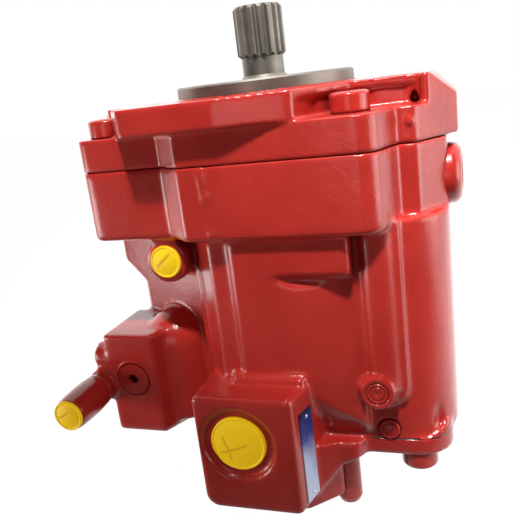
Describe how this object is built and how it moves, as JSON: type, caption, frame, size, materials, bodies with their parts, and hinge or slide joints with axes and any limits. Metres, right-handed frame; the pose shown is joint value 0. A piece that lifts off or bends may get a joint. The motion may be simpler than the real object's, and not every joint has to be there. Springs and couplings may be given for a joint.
{
  "type": "hydraulic pump",
  "caption": "Axial-piston hydraulic pump in red cast housing, splined drive shaft and round pilot on a two-bolt mounting flange, capped ports, valve block on the side.",
  "frame": {"origin": "centre of the mounting face, on the drive shaft's axis", "axes": "+Z out of the mounting face along the drive shaft; -Y towards the suction port; +X towards the trunnion cover"},
  "size_m": [0.2897, 0.2032, 0.365],
  "materials": {
    "red_cast_iron": "glossy red enamel over rough iron casting",
    "red_painted_steel": "glossy red enamel over turned steel",
    "shaft_steel": "machined, dull",
    "ring_steel": "phosphated, dark",
    "seal_rubber": "matt",
    "yellow_plastic": "moulded, slightly waxy",
    "plate_aluminium": "printed blue band fading to bare metal, no text"
  },
  "bodies": {
    "pump_body": {"adjuster_cap": "red_cast_iron", "control_valve_block": "red_cast_iron", "core_plug": "red_painted_steel", "drain_port_cap": "yellow_plastic", "fitting_nut": "red_painted_steel", "front_cover": "red_cast_iron", "front_cover_bolt_1": "red_painted_steel", "front_cover_bolt_2": "red_painted_steel", "front_cover_bolt_3": "red_painted_steel", "front_cover_bolt_4": "red_painted_steel", "gallery_plug": "red_painted_steel", "housing": "red_cast_iron", "nameplate": "plate_aluminium", "pilot_fitting": "red_painted_steel", "pilot_port_cap": "yellow_plastic", "rear_cover": "red_cast_iron", "rear_cover_bolt_1": "red_painted_steel", "rear_cover_bolt_2": "red_painted_steel", "rear_cover_bolt_3": "red_painted_steel", "rear_cover_bolt_4": "red_painted_steel", "seal_retaining_ring": "ring_steel", "shaft_seal": "seal_rubber", "suction_port_cap": "yellow_plastic", "trunnion_cover": "red_cast_iron", "valve_plug": "red_painted_steel", "valve_side_cap": "yellow_plastic"},
    "drive_shaft": {"drive_shaft": "shaft_steel"}
  },
  "joints": [
    {"name": "shaft_spin", "type": "hinge", "parent": "pump_body", "child": "drive_shaft", "pos_m": [0, 0, 0], "axis": [0, 0, 1], "continuous": true}
  ]
}
